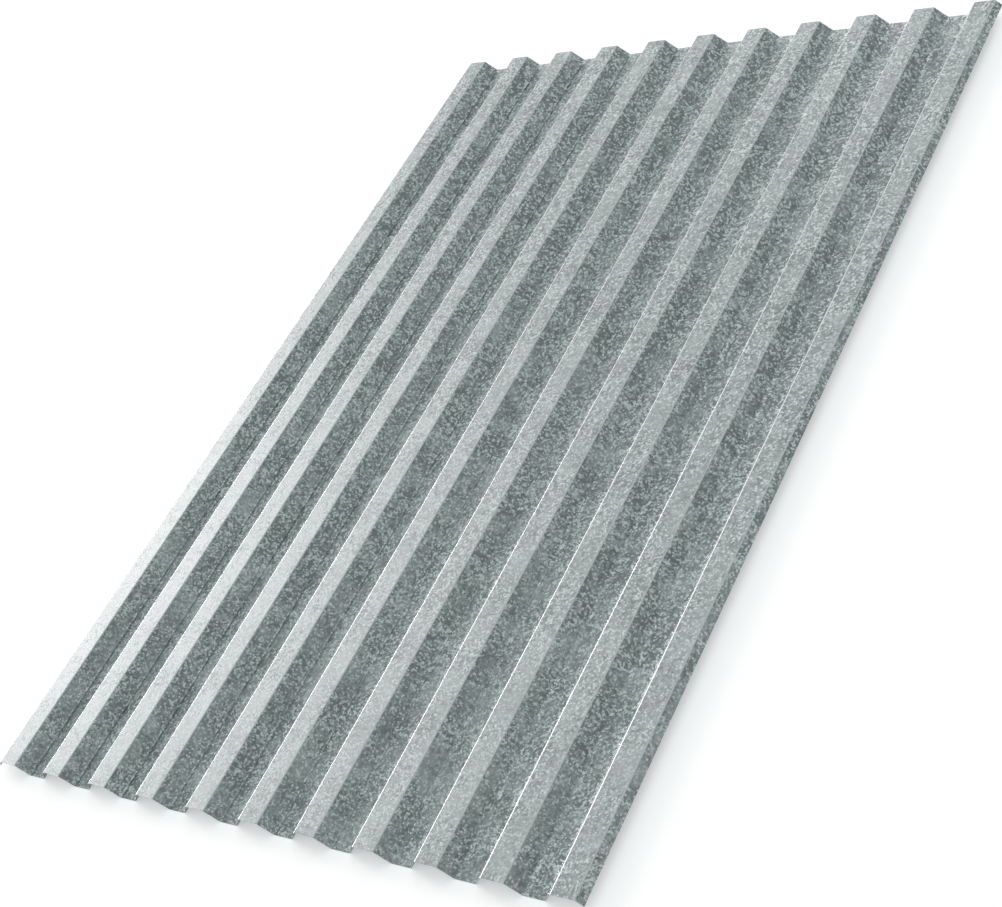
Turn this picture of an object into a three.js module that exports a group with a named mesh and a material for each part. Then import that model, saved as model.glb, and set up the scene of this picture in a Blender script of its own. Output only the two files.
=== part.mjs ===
// Trapezoidal corrugated sheet, roll-formed from one strip of galvanised steel.
//
// Millimetres, +Z up. The sheet lies flat with its ribs up: the undersides of its valleys are at
// z = 0, the ribs run along Y, and the origin is under the middle of the sheet.
//
// Widths and heights of the profile are taken on the upper face, between the sharp corners where
// two flats would meet. Every fold is then rounded by one bend radius.

import * as THREE from 'three';

// Driving dimensions
const sheetThickness = 0.5;
const sheetLength = 1560;
const ribCount = 11;
const crestWidth = 34;
const valleyWidth = 32;
const slopeRun = 17; // how far a slope goes sideways between crest and valley
const profileDepth = 21; // upper face of a valley to upper face of a crest
const lipRun = 8.5; // how far the cut lip reaches sideways past the outer crests
const insideBendRadius = 2; // on the hollow side of every fold
const bendFlats = 6; // narrow flats that make up one rounded fold

// Worked out from them
const ribPitch = crestWidth + valleyWidth + 2 * slopeRun;
const slopeAngle = Math.atan2(profileDepth, slopeRun);
const valleyTop = sheetThickness;
const crestTop = valleyTop + profileDepth;
const lipEdge = crestTop - lipRun * Math.tan(slopeAngle);
const firstCrest = -((ribCount - 1) * ribPitch) / 2;

const galvanisedSteel = new THREE.MeshStandardMaterial({
  name: 'galvanised_steel',
  color: 0x93a09f,
  roughness: 0.45,
  metalness: 0.9,
});

// The upper face as a chain of sharp corners, from the left lip's cut edge to the right one's.
// Each fold says which way the strip turns there: 'over' a crest's shoulder, or 'under' at a
// valley's foot.
function upperFaceCorners() {
  const outerShoulder = crestWidth / 2 + lipRun;
  const corners = [];
  corners.push({ x: firstCrest - outerShoulder, z: lipEdge });
  for (let rib = 0; rib < ribCount; rib += 1) {
    const middle = firstCrest + rib * ribPitch;
    const leftShoulder = middle - crestWidth / 2;
    const rightShoulder = middle + crestWidth / 2;
    corners.push({ x: leftShoulder, z: crestTop, turn: 'over' });
    corners.push({ x: rightShoulder, z: crestTop, turn: 'over' });
    if (rib < ribCount - 1) {
      const valleyStart = rightShoulder + slopeRun;
      corners.push({ x: valleyStart, z: valleyTop, turn: 'under' });
      corners.push({ x: valleyStart + valleyWidth, z: valleyTop, turn: 'under' });
    }
  }
  corners.push({ x: -firstCrest + outerShoulder, z: lipEdge });
  return corners;
}

// The direction of the flat between two corners, as an angle above +X.
function heading(from, to) {
  return Math.atan2(to.z - from.z, to.x - from.x);
}

// A point set off square to a flat that runs at the given angle: above it, or below it where the
// distance is negative.
function setOff(corner, angle, distance) {
  return {
    x: corner.x - Math.sin(angle) * distance,
    z: corner.z + Math.cos(angle) * distance,
  };
}

// One fold: both faces turn about the same centre, so the metal keeps its thickness round the
// bend. An 'over' fold has its centre below the strip and an 'under' fold above it. The quarter
// turn takes a flat's heading to the direction from the centre to the face beside that flat.
function foldAt(before, corner, after) {
  const arriving = heading(before, corner);
  const leaving = heading(corner, after);
  const half = (leaving - arriving) / 2;
  const over = corner.turn === 'over';
  const upperRadius = over ? insideBendRadius + sheetThickness : insideBendRadius;
  const lowerRadius = over ? insideBendRadius : insideBendRadius + sheetThickness;
  const reach = upperRadius / Math.cos(half);
  const centre = setOff(corner, arriving + half, over ? -reach : reach);
  const quarter = over ? Math.PI / 2 : -Math.PI / 2;
  return {
    centre,
    upperRadius,
    lowerRadius,
    startAngle: arriving + quarter,
    endAngle: leaving + quarter,
    clockwise: over,
  };
}

// The closed cross-section: up the left lip's cut edge, along the upper face, down the right lip's
// cut edge and back along the lower face. Shape X is across the sheet and shape Y is height.
function profileSection() {
  const corners = upperFaceCorners();
  const last = corners.length - 1;
  const folds = [];
  for (let i = 1; i < last; i += 1) {
    folds.push(foldAt(corners[i - 1], corners[i], corners[i + 1]));
  }
  const leftEdge = setOff(corners[0], heading(corners[0], corners[1]), -sheetThickness);
  const rightEdge = setOff(
    corners[last],
    heading(corners[last - 1], corners[last]),
    -sheetThickness,
  );

  const section = new THREE.Shape();
  section.moveTo(leftEdge.x, leftEdge.z);
  section.lineTo(corners[0].x, corners[0].z);
  for (const fold of folds) {
    const { centre, upperRadius, startAngle, endAngle, clockwise } = fold;
    section.absarc(centre.x, centre.z, upperRadius, startAngle, endAngle, clockwise);
  }
  section.lineTo(corners[last].x, corners[last].z);
  section.lineTo(rightEdge.x, rightEdge.z);
  for (const fold of folds.reverse()) {
    const { centre, lowerRadius, startAngle, endAngle, clockwise } = fold;
    section.absarc(centre.x, centre.z, lowerRadius, endAngle, startAngle, !clockwise);
  }
  section.closePath();
  return section;
}

// The section is drawn through the whole length, then stood up so that its height is +Z and its
// length is centred on the origin.
function profiledSheet() {
  const geometry = new THREE.ExtrudeGeometry(profileSection(), {
    depth: sheetLength,
    steps: 1,
    curveSegments: bendFlats / 2, // a shape's arc is drawn with two flats for each segment
    bevelEnabled: false,
  });
  geometry.rotateX(Math.PI / 2);
  const sheet = new THREE.Mesh(geometry, galvanisedSteel);
  sheet.name = 'profiled_sheet';
  sheet.position.y = sheetLength / 2;
  return sheet;
}

const corrugatedSheet = new THREE.Group();
corrugatedSheet.name = 'corrugated_metal_sheet';
corrugatedSheet.add(profiledSheet());

export default corrugatedSheet;
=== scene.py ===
# %% [markdown]
# # A profiled sheet of galvanised steel
#
# The real object starts as a flat strip of steel, half a millimetre thick, that was drawn through
# molten zinc. Rolls then fold it, lengthwise, into eleven flat-topped ribs. This script follows the
# same order: it lays out the flat strip, folds it, gives it its thickness, and then gives the zinc
# its frosty crystal pattern. The pattern is laid on the flat strip, as in the works, so it runs
# round every fold without a seam.
#
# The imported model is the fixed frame. It says how long, wide and deep the sheet is, and nothing
# here may grow past it, so its box is kept for a comparison at the end.

# %% Load the frame
import math

import bmesh
import bpy
from mathutils import Matrix, Vector


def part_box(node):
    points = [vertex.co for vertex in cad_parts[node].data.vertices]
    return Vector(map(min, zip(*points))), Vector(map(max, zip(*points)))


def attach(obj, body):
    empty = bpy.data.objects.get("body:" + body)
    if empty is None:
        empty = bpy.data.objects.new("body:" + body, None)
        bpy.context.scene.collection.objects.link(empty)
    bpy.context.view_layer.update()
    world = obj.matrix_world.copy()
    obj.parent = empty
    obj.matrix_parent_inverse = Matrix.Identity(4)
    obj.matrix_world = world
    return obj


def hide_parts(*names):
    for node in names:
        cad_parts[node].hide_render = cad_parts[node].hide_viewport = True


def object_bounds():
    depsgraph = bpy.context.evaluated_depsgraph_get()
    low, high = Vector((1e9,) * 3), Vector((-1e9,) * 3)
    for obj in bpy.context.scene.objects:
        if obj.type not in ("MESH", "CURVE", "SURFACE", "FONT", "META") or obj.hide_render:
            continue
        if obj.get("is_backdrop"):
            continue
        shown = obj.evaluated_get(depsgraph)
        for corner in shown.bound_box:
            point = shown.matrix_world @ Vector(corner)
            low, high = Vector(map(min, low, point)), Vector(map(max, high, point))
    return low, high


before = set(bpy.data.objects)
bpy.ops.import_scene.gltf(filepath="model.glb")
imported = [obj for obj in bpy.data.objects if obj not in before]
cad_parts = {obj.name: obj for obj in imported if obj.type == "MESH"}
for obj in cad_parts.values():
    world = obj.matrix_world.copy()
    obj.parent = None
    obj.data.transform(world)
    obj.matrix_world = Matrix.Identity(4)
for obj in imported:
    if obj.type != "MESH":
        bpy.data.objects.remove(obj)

cad_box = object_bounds()
sheet_low, sheet_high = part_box("profiled_sheet")
print("sheet, mm:", [round(1000 * size, 2) for size in sheet_high - sheet_low])

# %% [markdown]
# ## The camera
#
# The camera stands in front of the sheet's near right corner and looks down on it, turned about its
# own axis, so that the ribs run from the lower left to the upper right of the picture. A camera
# object can be turned with constraints or with typed angles. Here a matrix is built from where it
# stands, what it looks at and how far it is rolled, because those three can be measured one by one.

# %% Camera
CAMERA_PLACE = Vector((1.6695, -1.4194, 1.5870))
CAMERA_TARGET = Vector((0.0596, -0.1471, 0.0105))
CAMERA_ROLL = -34.651  # degrees, about the line of sight
CAMERA_LENS = 65.0  # millimetres
CAMERA_SENSOR = 36  # millimetres wide


def make_camera():
    """A camera looking from its place to its target, rolled about that line."""
    data = bpy.data.cameras.new("camera")
    data.lens = CAMERA_LENS
    data.sensor_width = CAMERA_SENSOR
    camera = bpy.data.objects.new("camera", data)
    bpy.context.scene.collection.objects.link(camera)
    aim = (CAMERA_TARGET - CAMERA_PLACE).to_track_quat("-Z", "Y").to_matrix().to_4x4()
    roll = Matrix.Rotation(math.radians(CAMERA_ROLL), 4, "Z")
    camera.matrix_world = Matrix.Translation(CAMERA_PLACE) @ aim @ roll
    bpy.context.scene.camera = camera
    return camera


make_camera()
print("camera stands", round((CAMERA_PLACE - CAMERA_TARGET).length, 3), "m from the sheet")

# %% [markdown]
# ## The profile
#
# The rolls leave flat crests, flat valleys and straight slopes, joined by folds of one radius. The
# sizes below are those of the rolled profile. The rest follows from the frame: the sheet's length,
# how deep the ribs are, and how far the two cut lips reach down the outer slopes. So the drawn
# profile always fills the frame's box exactly.

# %% Sizes of the profile, in metres
RIB_COUNT = 11
RIB_PITCH = 0.100
CREST_WIDTH = 0.034
SLOPE_RUN = 0.017
THICKNESS = 0.0005
INSIDE_RADIUS = 0.002
FOLD_STEPS = 8  # narrow flats in each fold

valley_width = RIB_PITCH - CREST_WIDTH - 2 * SLOPE_RUN
sheet_length = sheet_high.y - sheet_low.y
crest_top = sheet_high.z
valley_top = sheet_low.z + THICKNESS
slope_angle = math.atan2(crest_top - valley_top, SLOPE_RUN)
first_crest = -(RIB_COUNT - 1) * RIB_PITCH / 2
lip_run = sheet_high.x + first_crest - CREST_WIDTH / 2
print("slope", round(math.degrees(slope_angle), 1), "degrees, lip", round(1000 * lip_run, 1), "mm")

# %% [markdown]
# ## The folded line
#
# Seen from the end, the sheet's upper face is one line. It could be drawn as a curve with a bevel,
# but a bevelled curve gives no say in where the points of a fold lie. So the line is worked out as
# a draughtsman would: sharp corners first, then each corner is replaced by an arc that touches both
# straights. A fold over a crest has the larger radius, because the upper face is on the outside of
# it, and a fold at a valley's foot has the smaller one.

# %% Sharp corners of the upper face
def sharp_corners():
    """(x, z, radius) along the upper face, with radius 0 at the two cut lips."""
    over = INSIDE_RADIUS + THICKNESS
    under = INSIDE_RADIUS
    lip_z = crest_top - lip_run * math.tan(slope_angle)
    corners = [(first_crest - CREST_WIDTH / 2 - lip_run, lip_z, 0)]
    for rib in range(RIB_COUNT):
        middle = first_crest + rib * RIB_PITCH
        shoulder = middle + CREST_WIDTH / 2
        foot = shoulder + SLOPE_RUN
        corners += [(middle - CREST_WIDTH / 2, crest_top, over), (shoulder, crest_top, over)]
        if rib < RIB_COUNT - 1:
            corners += [(foot, valley_top, under), (foot + valley_width, valley_top, under)]
    corners.append((-corners[0][0], lip_z, 0))
    return corners


corners = sharp_corners()
print(len(corners), "corners, of which", len(corners) - 2, "are folds")

# %% Rounded folds
def polar(length, angle):
    return Vector((length * math.cos(angle), length * math.sin(angle)))


def fold_arc(before, corner, after):
    """Points of the arc that rounds one corner and touches the straights on both sides of it."""
    radius = corner[2]
    heading_in = math.atan2(corner[1] - before[1], corner[0] - before[0])
    heading_out = math.atan2(after[1] - corner[1], after[0] - corner[0])
    turn = heading_out - heading_in
    outward = math.pi / 2 if turn < 0 else -math.pi / 2
    reach = radius / math.cos(turn / 2)
    centre = Vector(corner[:2]) - polar(reach, heading_in + turn / 2 + outward)
    headings = [heading_in + turn * step / FOLD_STEPS for step in range(FOLD_STEPS + 1)]
    return [centre + polar(radius, heading + outward) for heading in headings]


first_fold = fold_arc(*corners[:3])
print("the first fold spans", round(1000 * (first_fold[-1] - first_fold[0]).length, 2), "mm")

# %% [markdown]
# ## What rolling and stacking do to the zinc
#
# A roll stretches the zinc over the outside of a crest's fold, and squeezes it smooth at a valley's
# foot and a little way onto the floor. Sheets are also stacked on each other, which rubs the tops
# of the ribs. Painting such marks with a texture would need their places twice. The line is already
# being laid out here, so each of its points carries two numbers along. The first, rolled, runs from
# +1 over a crest's fold to -1 at a valley's foot. The outside of each fold later gets a pale tone,
# partly the zinc's own where the roll stretches it and partly a painted highlight line. The second,
# worn, is 1 on top of a rib.

# %% Pressed feet
PRESSED_FULLY = 0.0040  # how far onto the valley floor the rolls have pressed the zinc flat
PRESSED_AT_ALL = 0.0060
PRESSED_SLOPE = 0.0010  # and how far up the slope


def beside(fold_end, towards, distance):
    """A point on the straight next to a fold, so far from where the fold ends."""
    return fold_end + (Vector(towards[:2]) - fold_end).normalized() * distance


def pressed_foot(arc, floor_side, slope_side):
    """A valley's fold, from the floor up the slope, with the pressed zinc fading out at both ends."""
    fading_floor = (beside(arc[0], floor_side, PRESSED_AT_ALL), 0.0)
    flat_floor = (beside(arc[0], floor_side, PRESSED_FULLY), -1.0)
    fading_slope = (beside(arc[-1], slope_side, PRESSED_SLOPE), 0.0)
    return [fading_floor, flat_floor, *[(point, -1.0) for point in arc], fading_slope]


print("each valley is pressed for", 1000 * PRESSED_AT_ALL, "mm beside its folds")

# %% The folded line, with its marks
WORN_DEPTH = 0.0004  # only what lies this close to the top of a rib touches the sheet above it


def upper_line():
    """The upper face as seen from the end: its points, and how rolled each one is."""
    marked = [(Vector(corners[0][:2]), 0.0)]
    for before, corner, after in zip(corners, corners[1:], corners[2:]):
        arc = fold_arc(before, corner, after)
        if corner[1] == crest_top:
            marked += [(arc[0], 0.0), *[(point, 1.0) for point in arc[1:-1]], (arc[-1], 0.0)]
        elif before[1] == valley_top:
            marked += pressed_foot(arc, before, after)
        else:
            marked += reversed(pressed_foot(arc[::-1], after, before))
    marked.append((Vector(corners[-1][:2]), 0.0))
    return [point for point, _ in marked], [amount for _, amount in marked]


line, rolled = upper_line()
worn = [1.0 if crest_top - point.y < WORN_DEPTH else 0.0 for point in line]
steps_along_line = [(b - a).length for a, b in zip(line, line[1:])]
along_strip = [sum(steps_along_line[:count]) for count in range(len(line))]
print(len(line), "points; the flat strip was", round(1000 * along_strip[-1], 1), "mm wide")

# %% [markdown]
# ## From strip to sheet
#
# One row of long faces, drawn from end to end, is all that a rolled profile needs: it is straight
# along its length. Each face remembers where it lay on the flat strip, in metres, in a UV map that
# is named strip. The Solidify modifier then gives the steel its thickness, downwards, so that the
# upper face stays where it was drawn. Its rim becomes the sheared edge, and the underside and the
# rim get material slots of their own. Solidify keeps the drawn points first in the list, so a third
# number, through, can say which points lie on the upper face. Across the rim it runs from 1 to 0.

# %% The upper face, with its place on the strip
def upper_face_mesh():
    mesh = bpy.data.meshes.new("profiled_sheet_skin")
    build = bmesh.new()
    strip = build.loops.layers.uv.new("strip")
    marks = [build.verts.layers.float.new(name) for name in ("rolled", "worn")]
    near = [build.verts.new((p.x, sheet_low.y, p.y)) for p in line]
    far = [build.verts.new((p.x, sheet_high.y, p.y)) for p in line]
    for left in range(len(line) - 1):
        right = left + 1
        face = build.faces.new((near[left], near[right], far[right], far[left]))
        places = ((left, 0), (right, 0), (right, sheet_length), (left, sheet_length))
        for loop, (point, along) in zip(face.loops, places):
            loop[strip].uv = (along_strip[point], along)
    for end in (near, far):
        for vertex, *amounts in zip(end, rolled, worn):
            for mark, amount in zip(marks, amounts):
                vertex[mark] = amount
    build.to_mesh(mesh)
    build.free()
    return mesh


upper_face = upper_face_mesh()
print(len(upper_face.polygons), "long faces side by side")

# %% Thickness, and the sheared rim
UPPER, UNDERSIDE, RIM = range(3)


def with_thickness(mesh):
    """The mesh as a closed sheet of the steel's thickness, with a slot for each kind of surface."""
    for _ in (UPPER, UNDERSIDE, RIM):
        mesh.materials.append(None)
    piece = bpy.data.objects.new("profiled_sheet_skin", mesh)
    bpy.context.scene.collection.objects.link(piece)
    solidify = piece.modifiers.new("thickness", "SOLIDIFY")
    solidify.thickness = THICKNESS
    solidify.offset = -1  # all of it below the drawn face
    solidify.use_even_offset = True
    solidify.material_offset = UNDERSIDE
    solidify.material_offset_rim = RIM
    bpy.context.view_layer.update()
    shaped = piece.evaluated_get(bpy.context.evaluated_depsgraph_get())
    piece.data = bpy.data.meshes.new_from_object(shaped)
    piece.modifiers.clear()
    through = piece.data.attributes.new("through", "FLOAT", "POINT")
    drawn = len(mesh.vertices)
    through.data.foreach_set("value", [1.0] * drawn + [0.0] * drawn)
    return piece


sheet = with_thickness(upper_face)
print(len(sheet.data.polygons), "faces")

# %% [markdown]
# ## Crisp flats, soft folds
#
# Plain smooth shading would bend the light across each wide flat, as if the whole sheet were
# quilted. Marking every edge sharp would show the little flats of each fold instead. The Weighted
# Normal modifier lets the widest faces decide, so the flats stay dead flat and only the narrow
# folds turn the light. Edges steeper than the fold's own steps, which are those at the sheared rim,
# stay sharp.

# %% Shading
SHARP_FROM = 30  # degrees
FLATS_LEAD = 100  # the strongest preference there is for the widest faces

sheet.data.shade_smooth()
sheet.data.set_sharp_from_angle(angle=math.radians(SHARP_FROM))
weighted = sheet.modifiers.new("flats lead", "WEIGHTED_NORMAL")
weighted.keep_sharp = True
weighted.weight = FLATS_LEAD
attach(sheet, "root")
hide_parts("profiled_sheet")
print("sharp edges:", sum(edge.use_edge_sharp for edge in sheet.data.edges))

# %% [markdown]
# ## A map for baking
#
# The zinc is worked out from the strip map, whose numbers are metres. Whoever bakes that zinc into
# a picture needs another map, in which every surface has a place of its own inside one square.
# Blender can pack such a map by itself, but it cuts a ribbed sheet into dozens of slivers. Laid out
# one by one it needs six islands: the flat upper face on the larger share of the square, the flat
# underside beside it, and the four sides of the rim as thin bands above them.

# %% Where the islands lie
UPPER_SHARE = (0.004, 0.660)  # where an island starts, and how far it reaches, as shares of the square
UNDERSIDE_SHARE = (0.672, 0.324)
LENGTH_SHARE = (0.004, 0.956)
NEAR_END, FAR_END, LEFT_LIP, RIGHT_LIP = range(4)
BAND_STARTS = (0.965, 0.974, 0.983, 0.992)  # for those four sides of the rim, in that order
BAND_SHARE = 0.005  # how high each of them is
FACES_THE_END = 0.5  # how far along the ribs a normal has to point for a cut end


def within(share, position, whole):
    """Where a position on the whole strip lands on the square."""
    return share[0] + share[1] * position / whole


def rim_side(normal):
    if abs(normal.y) > FACES_THE_END:
        return NEAR_END if normal.y < 0 else FAR_END
    return LEFT_LIP if normal.x < 0 else RIGHT_LIP


print("the islands end at", round(sum(UNDERSIDE_SHARE), 3), "of the square's width")

# %% Bake map
BAKE_MAP = "OFBake"


def lay_out_bake_map(mesh):
    flat = mesh.uv_layers["strip"].uv
    baked = mesh.uv_layers.new(name=BAKE_MAP, do_init=False).uv
    upper_points = 2 * len(line)
    for face in mesh.polygons:
        side = rim_side(face.normal)
        for corner, vertex in zip(face.loop_indices, face.vertices):
            across, along = flat[corner].vector
            spread = within(UPPER_SHARE, across, along_strip[-1])
            height = within(LENGTH_SHARE, along, sheet_length)
            if face.material_index == UNDERSIDE:
                spread = within(UNDERSIDE_SHARE, across, along_strip[-1])
            elif face.material_index == RIM:
                on_top = 1 if vertex < upper_points else 0
                height = BAND_STARTS[side] + BAND_SHARE * on_top
                if side in (LEFT_LIP, RIGHT_LIP):
                    spread = within(UPPER_SHARE, along, sheet_length)
            baked[corner].vector = (spread, height)


lay_out_bake_map(sheet.data)
print("maps:", [layer.name for layer in sheet.data.uv_layers])

# %% [markdown]
# ## Small tools for shader nodes
#
# A shader made in code is a list of nodes and links. A few short helpers keep it readable. The
# first two add a node and fill its sockets. The next four do sums, on numbers or on vectors.

# %% Helpers that add a node
def add(tree, kind, settings=None, **sockets):
    """A new node. settings are its properties; sockets are values or other nodes' outputs."""
    node = tree.nodes.new("ShaderNode" + kind)
    for name, value in (settings or {}).items():
        setattr(node, name, value)
    for name, value in sockets.items():
        plug(tree, node.inputs[name.replace("_", " ")], value)
    return node


def plug(tree, socket, value):
    if isinstance(value, bpy.types.NodeSocket):
        tree.links.new(value, socket)
    else:
        socket.default_value = value


print("helpers that add a node are ready")

# %% Helpers that do sums
def sums(tree, operation, *terms):
    """A Math node's result, with its terms in order."""
    node = add(tree, "Math", {"operation": operation})
    for socket, term in zip(node.inputs, terms):
        plug(tree, socket, term)
    return node.outputs[0]


def vectors(tree, operation, *terms):
    """A Vector Math node's result. A lone number is what Scale multiplies by."""
    node = add(tree, "VectorMath", {"operation": operation})
    for position, term in enumerate(terms):
        number = operation == "SCALE" and position == 1
        plug(tree, node.inputs["Scale"] if number else node.inputs[position], term)
    return node.outputs[0]


def remap(tree, value, low, high, to_low=0.0, to_high=1.0, smooth=True):
    """value, stretched from one range to another and held inside it."""
    settings = {"interpolation_type": "SMOOTHSTEP" if smooth else "LINEAR"}
    node = add(tree, "MapRange", settings)
    for socket, term in zip(node.inputs, (value, low, high, to_low, to_high)):
        plug(tree, socket, term)
    return node.outputs["Result"]


def end_to_end(tree, place, first, last):
    """A number that is first at one end of the sheet and last at the other."""
    along = add(tree, "SeparateXYZ", Vector=place).outputs["Y"]
    return remap(tree, along, 0.0, sheet_length, first, last, smooth=False)


print("helpers that do sums are ready")

# %% [markdown]
# All the patterns on this sheet are made in the same few steps: the strip is turned, counted in
# cells instead of metres, frayed by noise, and cut into cells by a Voronoi texture. Each step could
# be written out in every pattern, but as helpers they read like the sentence above.

# %% Helpers that lay out a pattern
NOISE_LOW = 0.3  # a noise seldom leaves the range from here
NOISE_HIGH = 0.7  # to here
NOISE_MIDDLE = (0.5, 0.5, 0.5)


def turned(tree, place, angle):
    settings = {"rotation_type": "Z_AXIS"}
    return add(tree, "VectorRotate", settings, Vector=place, Angle=angle).outputs[0]


def counted(tree, place, width, stretch):
    """A place in metres, counted in cells that are so wide, and stretch times as long."""
    across = sums(tree, "DIVIDE", 1.0, width)
    along = sums(tree, "DIVIDE", across, stretch)
    both = add(tree, "CombineXYZ", X=across, Y=along, Z=0.0).outputs[0]
    return vectors(tree, "MULTIPLY", place, both)


def frayed(tree, place, fineness, detail, reach):
    """A place moved about by noise, which makes the cells laid on it ragged."""
    noise = add(tree, "TexNoise", Vector=place, Scale=fineness, Detail=detail)
    stray = vectors(tree, "SUBTRACT", noise.outputs["Color"], NOISE_MIDDLE)
    return vectors(tree, "ADD", place, vectors(tree, "SCALE", stray, reach))


def cells_on(tree, place, scale=1.0):
    return add(tree, "TexVoronoi", {"voronoi_dimensions": "2D"}, Vector=place, Scale=scale)


def channels(tree, texture):
    """A texture's colour as three numbers that have nothing to do with each other."""
    return add(tree, "SeparateColor", Color=texture.outputs["Color"]).outputs


def spread_noise(tree, value, low, high):
    return remap(tree, value, NOISE_LOW, NOISE_HIGH, low, high, smooth=False)


print("helpers that lay out a pattern are ready")

# %% [markdown]
# A pattern becomes a node group, so that both faces of the sheet can use it, each with its own
# values. Two helpers open such a group and place it in a material or in another group.

# %% Helpers for node groups
def open_group(name, inputs, outputs):
    """A node group. inputs and outputs are {name: (socket kind, default)} and {name: kind}."""
    tree = bpy.data.node_groups.new(name, "ShaderNodeTree")
    for label, (kind, default) in inputs.items():
        socket = tree.interface.new_socket(label, in_out="INPUT", socket_type="NodeSocket" + kind)
        if default is not None:
            socket.default_value = default
    for label, kind in outputs.items():
        tree.interface.new_socket(label, in_out="OUTPUT", socket_type="NodeSocket" + kind)
    return tree, tree.nodes.new("NodeGroupInput").outputs, tree.nodes.new("NodeGroupOutput").inputs


def place_group(tree, group, **values):
    """The group as a node of a material, with its own values. Returns its outputs."""
    node = tree.nodes.new("ShaderNodeGroup")
    node.node_tree = group
    for name, value in values.items():
        plug(tree, node.inputs[name.replace("_", " ")], value)
    return node.outputs


print("helpers for node groups are ready")

# %% [markdown]
# ## Crystals
#
# Zinc freezes on the steel as crystals about the size of a coin. Each one grows its branches in a
# direction of its own, and some come out livelier than others. An image could show that, but it
# would blur close up and repeat. Here a Voronoi texture cuts the strip into crystals. Each
# crystal's random colour gives it a turn, a shift in the finer pattern, a contrast and a level. Its
# place on the strip gives it a growth, as if one end had cooled more slowly and its flakes had
# grown coarser. It is one number for a whole crystal, which keeps the flakes in it undistorted.

# %% Crystals group
CRYSTAL_BENDS = 2.0  # how finely a crystal's border wanders
CRYSTAL_DETAIL = 2.0  # and in how many ever finer steps
CRYSTAL_FRAY = 1.2  # and how far, in crystals
PLAIN_CRYSTAL = 0.95  # the contrast of the plainest crystal
LIVELY_CRYSTAL = 1.50  # and of the liveliest one
CRYSTAL_LEVEL = 0.06  # how much paler or darker than the rest one crystal can be
MOST_GROWTH = 1.35  # how much coarser than the first the last flakes on the sheet are


def crystals_group():
    tree, given, result = open_group(
        "crystals",
        {"Strip": ("Vector", None), "Size": ("Float", 0.02)},
        {"Turn": "Float", "Shift": "Color", "Contrast": "Float", "Level": "Float", "Growth": "Float"},
    )
    cells = vectors(tree, "SCALE", given["Strip"], sums(tree, "DIVIDE", 1.0, given["Size"]))
    crystal = cells_on(tree, frayed(tree, cells, CRYSTAL_BENDS, CRYSTAL_DETAIL, CRYSTAL_FRAY))
    share = channels(tree, crystal)
    contrast = remap(tree, share["Green"], 0.0, 1.0, PLAIN_CRYSTAL, LIVELY_CRYSTAL, smooth=False)
    level = remap(tree, share["Blue"], 0.0, 1.0, -CRYSTAL_LEVEL, CRYSTAL_LEVEL, smooth=False)
    plug(tree, result["Turn"], sums(tree, "MULTIPLY", share["Red"], 2 * math.pi))
    plug(tree, result["Shift"], crystal.outputs["Color"])
    plug(tree, result["Contrast"], contrast)
    plug(tree, result["Level"], level)
    middle = vectors(tree, "SCALE", crystal.outputs["Position"], given["Size"])
    plug(tree, result["Growth"], end_to_end(tree, middle, 1.0, MOST_GROWTH))
    return tree


crystals = crystals_group()
print("crystals:", len(crystals.nodes), "nodes")

# %% [markdown]
# ## Flakes
#
# Inside a crystal the branches end in flakes two to four millimetres long, each with its own
# brightness. Noise alone gives blobs that melt into each other. A second Voronoi texture gives
# separate flakes with a crisp border, noise frays that border, and a power curve makes most of them
# dull and a few of them bright. A third, coarser one lifts small clusters of flakes together.

# %% Single flakes
FADE_STARTS = 0.20  # a flake dims from this far out of its middle
FADE_ENDS = 0.75
FADE_LEFT = 0.45  # what the dimming leaves of it


def sparks(tree, torn, sparkle):
    """Single flakes, most of them dull and a few of them bright."""
    flake = cells_on(tree, torn)
    fade = remap(tree, flake.outputs["Distance"], FADE_STARTS, FADE_ENDS, 1.0, FADE_LEFT)
    chance = channels(tree, flake)["Red"]
    return sums(tree, "MULTIPLY", sums(tree, "POWER", chance, sparkle), fade)


print("a flake dims to", FADE_LEFT, "of its middle towards its border")

# %% Flakes group
FLAKE_BENDS = 1.3  # how finely a flake's border frays
FLAKE_DETAIL = 3.0  # and in how many ever finer steps
SPARK = 1.24  # what the brightest flake adds
CLUSTER_SCALE = 0.45  # a cluster is about two flakes across
CLUSTER = 0.25  # what the brightest cluster adds
MIST = {"Scale": 0.5, "Detail": 3.0, "Roughness": 0.65}  # soft patches, about two flakes across
MIST_LOW = -0.17  # what the darkest of them adds
MIST_HIGH = 0.22


def flakes_group():
    crystal = {"Turn": ("Float", 0.0), "Shift": ("Color", None), "Growth": ("Float", 1.0)}
    lengths = {"Width": ("Float", 0.0022), "Stretch": ("Float", 1.3)}
    looks = {"Ragged": ("Float", 1.0), "Sparkle": ("Float", 3.0)}
    tree, given, result = open_group(
        "flakes",
        {"Strip": ("Vector", None), **crystal, **lengths, **looks},
        {"Brightness": "Float"},
    )
    grain = vectors(tree, "ADD", turned(tree, given["Strip"], given["Turn"]), given["Shift"])
    width = sums(tree, "MULTIPLY", given["Width"], given["Growth"])
    places = counted(tree, grain, width, given["Stretch"])
    torn = frayed(tree, places, FLAKE_BENDS, FLAKE_DETAIL, given["Ragged"])
    cluster = channels(tree, cells_on(tree, torn, CLUSTER_SCALE))["Red"]
    mist = add(tree, "TexNoise", Vector=places, **MIST)
    bright = spread_noise(tree, mist.outputs["Fac"], MIST_LOW, MIST_HIGH)
    bright = sums(tree, "MULTIPLY_ADD", sparks(tree, torn, given["Sparkle"]), SPARK, bright)
    bright = sums(tree, "MULTIPLY_ADD", cluster, CLUSTER, bright)
    plug(tree, result["Brightness"], bright)
    return tree


flakes = flakes_group()
print("flakes:", len(flakes.nodes), "nodes")

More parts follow.
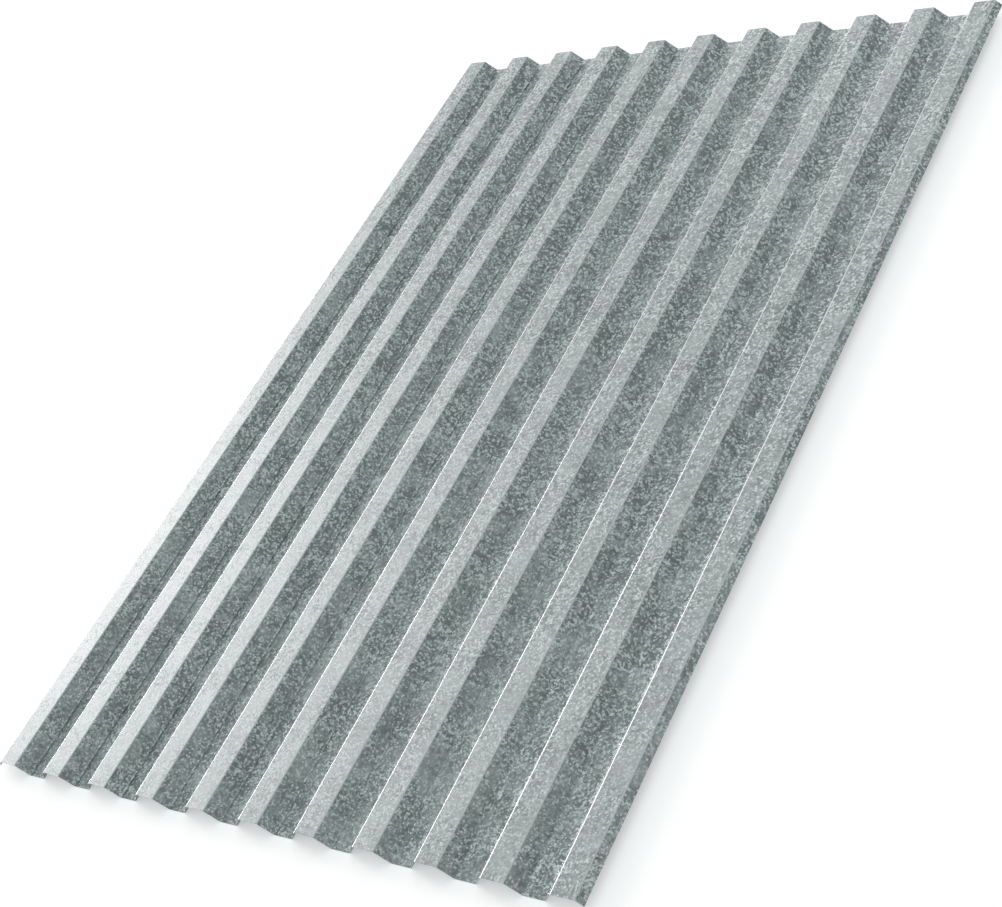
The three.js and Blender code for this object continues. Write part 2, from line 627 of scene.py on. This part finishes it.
# %% [markdown]
# ## Drift
#
# The bath isn't the same everywhere. Over a hand's width the coat turns a little paler or darker,
# bluer or greener, and its pattern goes from crisp to faint. One slow noise could do all three, but
# then they would come and go together. The three channels of a noise's colour are independent of
# each other, so each of them drives one change.

# %% Drift group
CLOUD = {"Scale": 1.0, "Detail": 3.0, "Roughness": 0.55}  # one soft patch for each Size
DRIFT_LEVEL = 0.12  # how much paler or darker the coat drifts
GREENEST = 0.35  # the noise below which the tint is green
BLUEST = 0.65  # and above which it is blue
SMOOTH_BELOW = 0.33  # the noise below which the pattern is at its faintest
CRISP_ABOVE = 0.62
FAINTEST = 0.60  # the pattern's contrast there
CRISPEST = 1.26


def drift_group():
    tree, given, result = open_group(
        "drift",
        {"Strip": ("Vector", None), "Size": ("Float", 0.07)},
        {"Level": "Float", "Tint": "Float", "Clarity": "Float"},
    )
    place = vectors(tree, "SCALE", given["Strip"], sums(tree, "DIVIDE", 1.0, given["Size"]))
    cloud = add(tree, "TexNoise", Vector=place, **CLOUD)
    share = channels(tree, cloud)
    clarity = remap(tree, share["Blue"], SMOOTH_BELOW, CRISP_ABOVE, FAINTEST, CRISPEST)
    plug(tree, result["Level"], spread_noise(tree, share["Red"], -DRIFT_LEVEL, DRIFT_LEVEL))
    plug(tree, result["Tint"], remap(tree, share["Green"], GREENEST, BLUEST))
    plug(tree, result["Clarity"], clarity)
    return tree


drift = drift_group()
print("drift:", len(drift.nodes), "nodes")

# %% [markdown]
# ## Drag marks
#
# Sheets are slid over each other, mostly lengthwise, and a speck of grit between them leaves a
# short pale line. Lines could be modelled, but they have no depth worth a mesh. A Voronoi texture
# on a strongly stretched strip has round spots in its cells' middles that come out as long thin
# spindles, which is the shape of such a mark, and each cell's random colour leaves nearly half of
# the spots out.

# %% Drags group
SWAY = {"Scale": 9.0, "Detail": 0.0}  # how often the sliding direction changes, for each metre
MOST_SWAY = 0.30  # radians to either side


def drags_group():
    lengths = {"Spacing": ("Float", 0.030), "Stretch": ("Float", 22.0)}
    looks = {"Thickness": ("Float", 0.0004), "Share": ("Float", 0.55)}
    tree, given, result = open_group(
        "drags",
        {"Strip": ("Vector", None), **lengths, **looks},
        {"Mask": "Float"},
    )
    sway = add(tree, "TexNoise", Vector=given["Strip"], **SWAY)
    lean = spread_noise(tree, sway.outputs["Fac"], -MOST_SWAY, MOST_SWAY)
    leaning = turned(tree, given["Strip"], lean)
    spot = cells_on(tree, counted(tree, leaning, given["Spacing"], given["Stretch"]))
    edge = sums(tree, "DIVIDE", given["Thickness"], given["Spacing"])
    near = remap(tree, spot.outputs["Distance"], 0.0, edge, 1.0, 0.0)
    kept = sums(tree, "LESS_THAN", channels(tree, spot)["Red"], given["Share"])
    plug(tree, result["Mask"], sums(tree, "MULTIPLY", near, kept))
    return tree


drags = drags_group()
print("drags:", len(drags.nodes), "nodes")

# %% [markdown]
# ## Zinc
#
# Bare zinc mirrors, darkly. In the air it grows a thin chalky skin, thicker on some flakes than on
# others, and chalk scatters light evenly. One could give each flake its own roughness and leave all
# of it metal, but then a flake loses its brightness as soon as it mirrors something dark. So one
# mask, chalk, drives two sockets here. Where it rises, the colour goes from a dark mirror to a pale
# chalk, and Metallic falls. The flakes then stand out where the ground mirrors shade, and they
# nearly vanish on a crest that throws a lamp back, as real spangle does when a sheet is tilted.

# %% How chalky each spot is
PLAIN_CHALK = 0.36  # the share of chalk on a spot that is neither lively nor dull
BAREST_CHALK = 0.05  # even the barest spot has a little
FAINT_END = 0.80  # how strong the pattern is where the flakes are finest
CRISP_END = 1.28  # and where they are coarsest
WORN_CONTRAST = 0.65  # what stacking leaves of the pattern on top of a rib
DRAG_CHALK = 0.32


def pattern(tree, strip, brightness, crystal, slow):
    """How far a spot lies above or below plain chalk, as its flake, crystal and bath have it."""
    contrast = sums(tree, "MULTIPLY", crystal["Contrast"], slow["Clarity"])
    contrast = sums(tree, "MULTIPLY", contrast, end_to_end(tree, strip, FAINT_END, CRISP_END))
    level = sums(tree, "ADD", crystal["Level"], slow["Level"])
    over = sums(tree, "SUBTRACT", brightness, PLAIN_CHALK)
    return sums(tree, "MULTIPLY_ADD", over, contrast, level)


def chalk_mask(tree, given):
    """How chalky a spot is before the rolls touch it, from 0 to 1, and its tint."""
    strip = given["Strip"]
    crystal = place_group(tree, crystals, Strip=strip)
    grown = {name: crystal[name] for name in ("Turn", "Shift", "Growth")}
    flake = place_group(tree, flakes, Strip=strip, **grown)
    slow = place_group(tree, drift, Strip=strip)
    drag = place_group(tree, drags, Strip=strip)
    kept = remap(tree, given["Worn"], 0.0, 1.0, 1.0, WORN_CONTRAST, smooth=False)
    chalk = pattern(tree, strip, flake["Brightness"], crystal, slow)
    chalk = sums(tree, "MULTIPLY_ADD", chalk, kept, PLAIN_CHALK)
    chalk = sums(tree, "MULTIPLY_ADD", drag["Mask"], DRAG_CHALK, chalk)
    return remap(tree, chalk, BAREST_CHALK, 1.0, BAREST_CHALK, 1.0, smooth=False), slow["Tint"]


print("a plain spot is", PLAIN_CHALK, "chalk")

# %% [markdown]
# ## One coat for both faces
#
# Both faces were coated in one bath, so they share one group, and each material gives it values of
# its own. Over a crest's fold the rolls stretch the flakes away. What is left has one bright tone,
# half mirror and half chalk, and that tone is partly a painted highlight: with the lamps it draws a
# bright line along the rib. At a valley's foot the zinc is pressed smooth. The flakes keep their
# tone there, but they mirror instead of scattering. A smooth spot mirrors the dark slope beside it,
# so the foot reads as a fine dark line from the side where the slope is steep to the eye, and from
# straight above it all but disappears.

# %% Mixing two colours
MIX_INPUTS = (0, 6, 7)  # where a Mix node keeps its share and its two colours
MIX_RESULT = 2


def mix_colours(tree, share, first, second):
    node = add(tree, "Mix", {"data_type": "RGBA"})
    for position, value in zip(MIX_INPUTS, (share, first, second)):
        plug(tree, node.inputs[position], value)
    return node.outputs[MIX_RESULT]


print("a share of 0 gives the first colour, and 1 the second")

# %% Zinc group
ZINC_GREEN = (0.172, 0.202, 0.196, 1.0)
ZINC_BLUE = (0.186, 0.202, 0.212, 1.0)
# the outside of a fold: zinc the roll stretches, made paler still as a painted highlight line
STRETCHED_ZINC_AND_HIGHLIGHT = (0.564, 0.600, 0.597, 1.0)
CHALK = (0.690, 0.760, 0.755, 1.0)
UPPER_DULLNESS = 0.42  # the roughness of zinc that nothing has touched
WORN_ROUGHNESS = 0.39
STRETCHED_ROUGHNESS = 0.38
STRETCHED_CHALK = 0.50
PRESSED_ROUGHNESS = 0.20
PRESSED_CHALK = 0.1  # the share of its even scatter that pressing leaves


def zinc_group():
    tree, given, result = open_group(
        "zinc",
        {
            "Strip": ("Vector", None),
            "Rolled": ("Float", 0.0),
            "Worn": ("Float", 0.0),
            "Dullness": ("Float", UPPER_DULLNESS),
        },
        {"Colour": "Color", "Chalk": "Float", "Roughness": "Float"},
    )
    outer_fold = sums(tree, "MAXIMUM", given["Rolled"], 0.0)
    pressed = sums(tree, "MAXIMUM", sums(tree, "MULTIPLY", given["Rolled"], -1.0), 0.0)
    chalk, tint = chalk_mask(tree, given)
    colour = mix_colours(tree, chalk, mix_colours(tree, tint, ZINC_GREEN, ZINC_BLUE), CHALK)
    # on the outside of a fold the colour turns to that pale tone, partly a painted highlight
    plug(tree, result["Colour"], mix_colours(tree, outer_fold, colour, STRETCHED_ZINC_AND_HIGHLIGHT))
    left = sums(tree, "MULTIPLY_ADD", pressed, PRESSED_CHALK - 1.0, 1.0)
    chalk = sums(tree, "MULTIPLY", chalk, sums(tree, "SUBTRACT", left, outer_fold))
    plug(tree, result["Chalk"], sums(tree, "MULTIPLY_ADD", outer_fold, STRETCHED_CHALK, chalk))
    rough = remap(tree, given["Worn"], 0.0, 1.0, given["Dullness"], WORN_ROUGHNESS, smooth=False)
    rough = remap(tree, outer_fold, 0.0, 1.0, rough, STRETCHED_ROUGHNESS, smooth=False)
    rough = remap(tree, pressed, 0.0, 1.0, rough, PRESSED_ROUGHNESS, smooth=False)
    plug(tree, result["Roughness"], rough)
    return tree


zinc = zinc_group()
print("zinc:", len(zinc.nodes), "nodes")

# %% Zinc as a material
CHALK_GLOSS = 0.15  # chalk has hardly any gloss of its own


def zinc_material(name, shift, dullness, marks):
    """A material of zinc. marks gives the zinc group what the folded line noted on each point."""
    material = bpy.data.materials.new(name)
    material.use_nodes = True
    tree = material.node_tree
    strip = vectors(tree, "ADD", add(tree, "UVMap", {"uv_map": "strip"}).outputs[0], shift)
    coat = place_group(tree, zinc, Strip=strip, Dullness=dullness, **marks(tree))
    shader = tree.nodes["Principled BSDF"].inputs
    plug(tree, shader["Base Color"], coat["Colour"])
    plug(tree, shader["Metallic"], sums(tree, "SUBTRACT", 1.0, coat["Chalk"]))
    plug(tree, shader["Roughness"], coat["Roughness"])
    shader["Specular IOR Level"].default_value = CHALK_GLOSS
    return material


print("gloss of chalk:", CHALK_GLOSS)

# %% Zinc on the upper face and on the underside
UPPER_SHIFT = (0.0, 0.0, 0.0)
UNDERSIDE_SHIFT = (3.7, 0.0, 0.0)  # metres across, to another part of the endless pattern
UNDERSIDE_DULLNESS = 0.46


def mark(tree, name):
    return add(tree, "Attribute", {"attribute_name": name}).outputs["Fac"]


def upper_marks(tree):
    return {"Rolled": mark(tree, "rolled"), "Worn": mark(tree, "worn")}


def underside_marks(tree):
    """Seen from below a crest is a groove, so where the roll stretches the upper face it presses the
    underside.
    """
    return {"Rolled": sums(tree, "MULTIPLY", mark(tree, "rolled"), -1.0)}


upper_zinc = zinc_material("zinc_upper_face", UPPER_SHIFT, UPPER_DULLNESS, upper_marks)
under_zinc = zinc_material("zinc_underside", UNDERSIDE_SHIFT, UNDERSIDE_DULLNESS, underside_marks)
sheet.data.materials[UPPER] = upper_zinc
sheet.data.materials[UNDERSIDE] = under_zinc
print("materials:", upper_zinc.name, "and", under_zinc.name)

# %% [markdown]
# ## Sheared steel
#
# The sheet is cut to size after it is coated, so its rim is bare steel. A shear first slices, which
# leaves a smooth bright band under the upper face, and then the rest tears off, which leaves a
# dull, grainy one. The mark named through runs across the rim, and a little noise makes the border
# between the two bands wander. A bevel would be the other way to catch light here, but a shear
# leaves no bevel on half a millimetre of steel.

# %% Sheared steel
STEEL_SLICED = (0.400, 0.410, 0.405, 1.0)
STEEL_TORN = (0.215, 0.222, 0.222, 1.0)
STEEL_PITTED = (0.161, 0.167, 0.167, 1.0)  # in the pits of the torn band
SLICED_ROUGHNESS = 0.30
TORN_ROUGHNESS = 0.62
GRAIN_SIZE = 0.00035  # a third of a millimetre
GRAIN = {"Scale": 1 / GRAIN_SIZE, "Detail": 2.0}
GRAIN_REACH = 0.5  # how far the grain moves the border between the bands
TORN_UP_TO = 0.80  # where the one band ends, on through with the grain added
SLICED_FROM = 0.92  # and the other begins


def sheared_steel():
    material = bpy.data.materials.new("sheared_steel")
    material.use_nodes = True
    tree = material.node_tree
    place = add(tree, "TexCoord").outputs["Object"]
    grain = add(tree, "TexNoise", Vector=place, **GRAIN).outputs["Fac"]
    border = sums(tree, "MULTIPLY_ADD", grain, GRAIN_REACH, mark(tree, "through"))
    sliced = remap(tree, border, TORN_UP_TO, SLICED_FROM)
    torn = mix_colours(tree, grain, STEEL_PITTED, STEEL_TORN)
    rough = remap(tree, sliced, 0.0, 1.0, TORN_ROUGHNESS, SLICED_ROUGHNESS, smooth=False)
    shader = tree.nodes["Principled BSDF"].inputs
    plug(tree, shader["Base Color"], mix_colours(tree, sliced, torn, STEEL_SLICED))
    plug(tree, shader["Roughness"], rough)
    shader["Metallic"].default_value = 1.0
    return material


sheet.data.materials[RIM] = sheared_steel()
print("materials:", [material.name for material in sheet.data.materials])

# %% [markdown]
# ## Floor
#
# A studio floor doesn't come out white by being lit until it burns out, because that would burn out
# the object too. It is a pale matt floor, and only the camera and mirror-like rays see a little
# glow on top of its own colour. The sheet's shadow stays, as that is missing light, and metal
# mirrors the same white that the camera sees. From below, the floor is clear, as if the sheet lay
# on glass. It lies a hair below the sheet, so that no two faces share one plane.

# %% The floor's material
FLOOR_COLOUR = (0.8, 0.8, 0.8, 1.0)
FLOOR_GLOW = 0.4  # enough to bring the lit floor to white


def join(tree, kind, first, second):
    """Two shaders, added together or mixed. Their sockets are the last two of the node."""
    node = add(tree, kind)
    tree.links.new(first.outputs[0], node.inputs[-2])
    tree.links.new(second.outputs[0], node.inputs[-1])
    return node


def floor_material():
    material = bpy.data.materials.new("studio_floor")
    material.use_nodes = True
    tree = material.node_tree
    tree.nodes.remove(tree.nodes["Principled BSDF"])
    rays = add(tree, "LightPath").outputs
    seen = sums(tree, "MAXIMUM", rays["Is Camera Ray"], rays["Is Glossy Ray"])
    seen = sums(tree, "MAXIMUM", seen, rays["Is Transmission Ray"])
    glow = add(tree, "Emission", Strength=sums(tree, "MULTIPLY", seen, FLOOR_GLOW))
    lit = join(tree, "AddShader", add(tree, "BsdfDiffuse", Color=FLOOR_COLOUR), glow)
    one_sided = join(tree, "MixShader", lit, add(tree, "BsdfTransparent"))
    plug(tree, one_sided.inputs[0], add(tree, "NewGeometry").outputs["Backfacing"])
    plug(tree, tree.nodes["Material Output"].inputs["Surface"], one_sided.outputs[0])
    return material


matt_floor = floor_material()
print("floor material:", len(matt_floor.node_tree.nodes), "nodes")

# %% Floor
FLOOR_HALF = 400.0  # metres from its middle to each side
FLOOR_DROP = 0.0001


def make_floor():
    half = FLOOR_HALF
    places = [(-half, -half), (half, -half), (half, half), (-half, half)]
    mesh = bpy.data.meshes.new("floor")
    mesh.from_pydata([(x, y, -FLOOR_DROP) for x, y in places], [], [(0, 1, 2, 3)])
    mesh.materials.append(matt_floor)
    floor = bpy.data.objects.new("floor", mesh)
    bpy.context.scene.collection.objects.link(floor)
    floor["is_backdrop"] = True


make_floor()
print("floor laid, metres across:", 2 * FLOOR_HALF)

# %% [markdown]
# ## Light
#
# A grey surround, a little brighter towards the far left, lights the whole sheet softly. The
# valleys look up and mirror that side, so they come out a shade paler than the slopes, which turn
# away from it. Three broad, low lamps on the left skim over the ribs. The crests throw their light
# towards the camera, most of all at the left. The valleys lie almost wholly in the ribs' shadow,
# and the slopes on the camera's side face away, so both mirror little but the surround. They stay
# darker, and that alone makes the profile readable. Sun lamps with a wide spread act as large soft
# boxes here, and they light the far end of the sheet as strongly as the near one.

# %% Surround
SURROUND = 0.674  # how bright it is straight above
SURROUND_TO_RIGHT = -0.134  # what is added to it on the right, and taken from it on the left
SURROUND_TO_FAR = 0.210  # and the same for the far side and the near side
SURROUND_COLOUR = (0.95, 1.0, 1.0, 1.0)


def make_surround():
    world = bpy.data.worlds.new("surround")
    bpy.context.scene.world = world
    world.use_nodes = True
    tree = world.node_tree
    background = tree.nodes["Background"].inputs
    background["Color"].default_value = SURROUND_COLOUR
    side = add(tree, "SeparateXYZ", Vector=add(tree, "TexCoord").outputs["Generated"]).outputs
    strength = sums(tree, "MULTIPLY_ADD", side["X"], SURROUND_TO_RIGHT, SURROUND)
    strength = sums(tree, "MULTIPLY_ADD", side["Y"], SURROUND_TO_FAR, strength)
    plug(tree, background["Strength"], strength)


make_surround()
print("the surround leans by", round(math.hypot(SURROUND_TO_RIGHT, SURROUND_TO_FAR), 3), "at most")

# %% Lamps
LAMP_COLOUR = (1.0, 0.90, 0.905)
LAMP_SPREAD = 24  # degrees across, as seen from the sheet
LAMPS = {  # degrees round from the right-hand side, degrees up, strength
    "low_lamp": (160, 14, 1.627),
    "middle_lamp": (150, 20, 0.306),
    "far_lamp": (120, 14, 0.339),
}


def add_lamp(name, round_from_right, up, strength):
    """A soft lamp that shines on the sheet from the direction given in degrees."""
    data = bpy.data.lights.new(name, "SUN")
    data.energy = strength
    data.color = LAMP_COLOUR
    data.angle = math.radians(LAMP_SPREAD)
    lamp = bpy.data.objects.new(name, data)
    flat = polar(math.cos(math.radians(up)), math.radians(round_from_right))
    towards = Vector((flat.x, flat.y, math.sin(math.radians(up))))
    lamp.rotation_euler = towards.to_track_quat("Z", "Y").to_euler()
    bpy.context.scene.collection.objects.link(lamp)


for name, (round_from_right, up, strength) in LAMPS.items():
    add_lamp(name, round_from_right, up, strength)
bpy.context.scene.view_settings.view_transform = "Standard"
print("lamps:", len(bpy.data.lights))

# %% [markdown]
# ## Size
#
# The dressed sheet has to be as large as the imported one, and no larger. Both boxes are measured,
# and the largest difference between them is printed in millimetres.


skin_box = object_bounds()
gaps = [abs(a - b) for cad, skin in zip(cad_box, skin_box) for a, b in zip(cad, skin)]
print("boxes differ by", round(1000 * max(gaps), 3), "mm at most")
